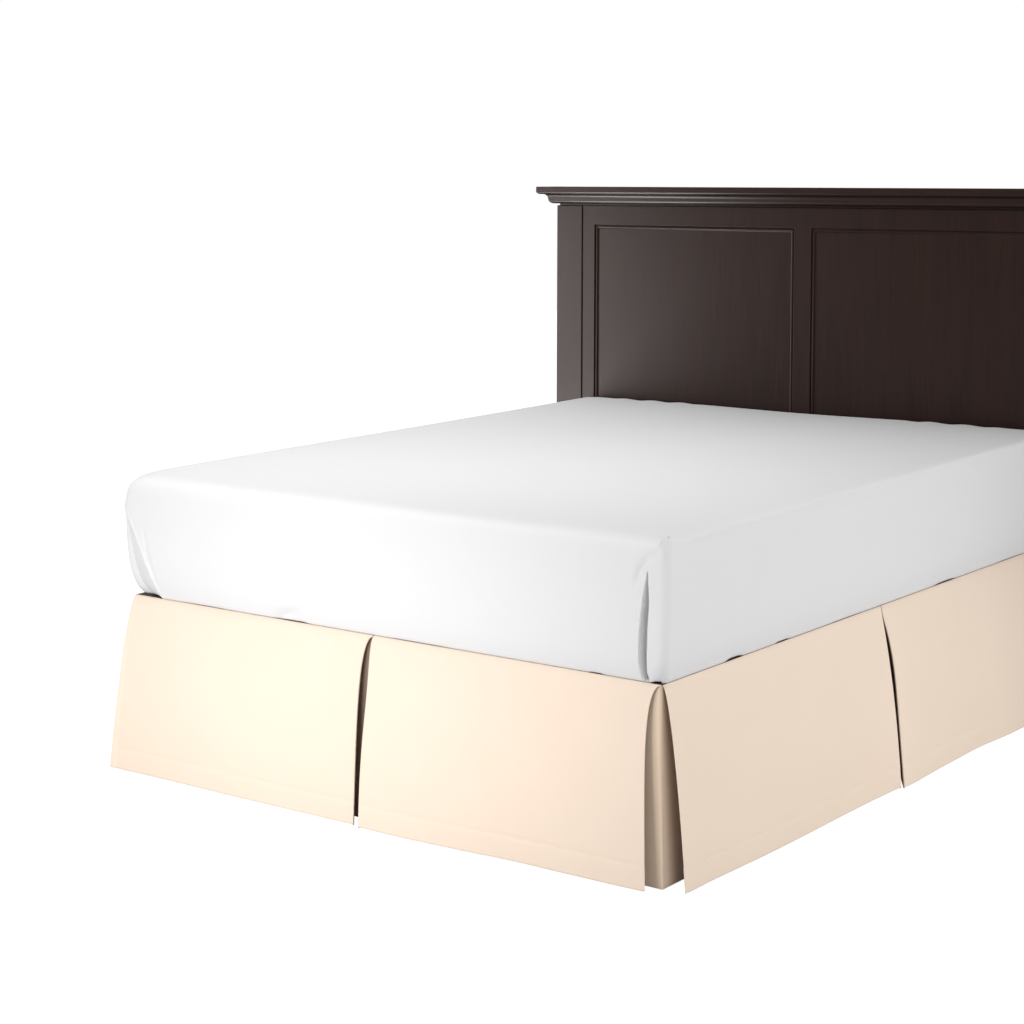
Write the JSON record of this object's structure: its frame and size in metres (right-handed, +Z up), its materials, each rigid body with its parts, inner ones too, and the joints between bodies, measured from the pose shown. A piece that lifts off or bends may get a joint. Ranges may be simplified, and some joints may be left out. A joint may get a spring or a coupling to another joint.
{
  "type": "bed skirt on a bed with its mattress and headboard",
  "caption": "Tailored bed skirt with flared drops, centre box pleats and split foot corners, hung on a plain bed with mattress and panelled headboard.",
  "frame": {"origin": "centre of the middle support leg's underside, on the floor under the middle of the bed", "axes": "+X to the right seen from the foot, +Y towards the headboard, +Z up; the foot of the bed faces -Y"},
  "size_m": [1.878, 2.1888, 1.4265],
  "materials": {
    "skirt_cloth": "smooth cotton sateen, soft sheen",
    "deck_cloth": "plain woven, dyed dark, matt",
    "sheet_cloth": "cotton percale, matt",
    "foundation_cloth": "plain ticking, matt",
    "frame_steel": "powder coated, satin",
    "board_wood": "espresso stain, satin lacquer"
  },
  "bodies": {
    "root": {"foot_drop": "skirt_cloth", "side_drop_left": "skirt_cloth", "side_drop_right": "skirt_cloth", "corner_underlay_left": "skirt_cloth", "corner_underlay_right": "skirt_cloth", "deck": "deck_cloth", "mattress": "sheet_cloth", "foundation": "foundation_cloth", "rail_left": "frame_steel", "rail_right": "frame_steel", "cross_bar_foot": "frame_steel", "cross_bar_middle": "frame_steel", "cross_bar_head": "frame_steel", "leg_foot_left": "frame_steel", "leg_foot_right": "frame_steel", "leg_head_left": "frame_steel", "leg_head_right": "frame_steel", "leg_middle": "frame_steel", "bracket_left": "frame_steel", "bracket_right": "frame_steel", "headboard_bottom_rail": "board_wood", "headboard_crown": "board_wood", "headboard_panel_left": "board_wood", "headboard_panel_right": "board_wood", "headboard_post_left": "board_wood", "headboard_post_right": "board_wood", "headboard_stile_left": "board_wood", "headboard_stile_middle": "board_wood", "headboard_stile_right": "board_wood", "headboard_top_rail": "board_wood"}
  },
  "joints": []
}
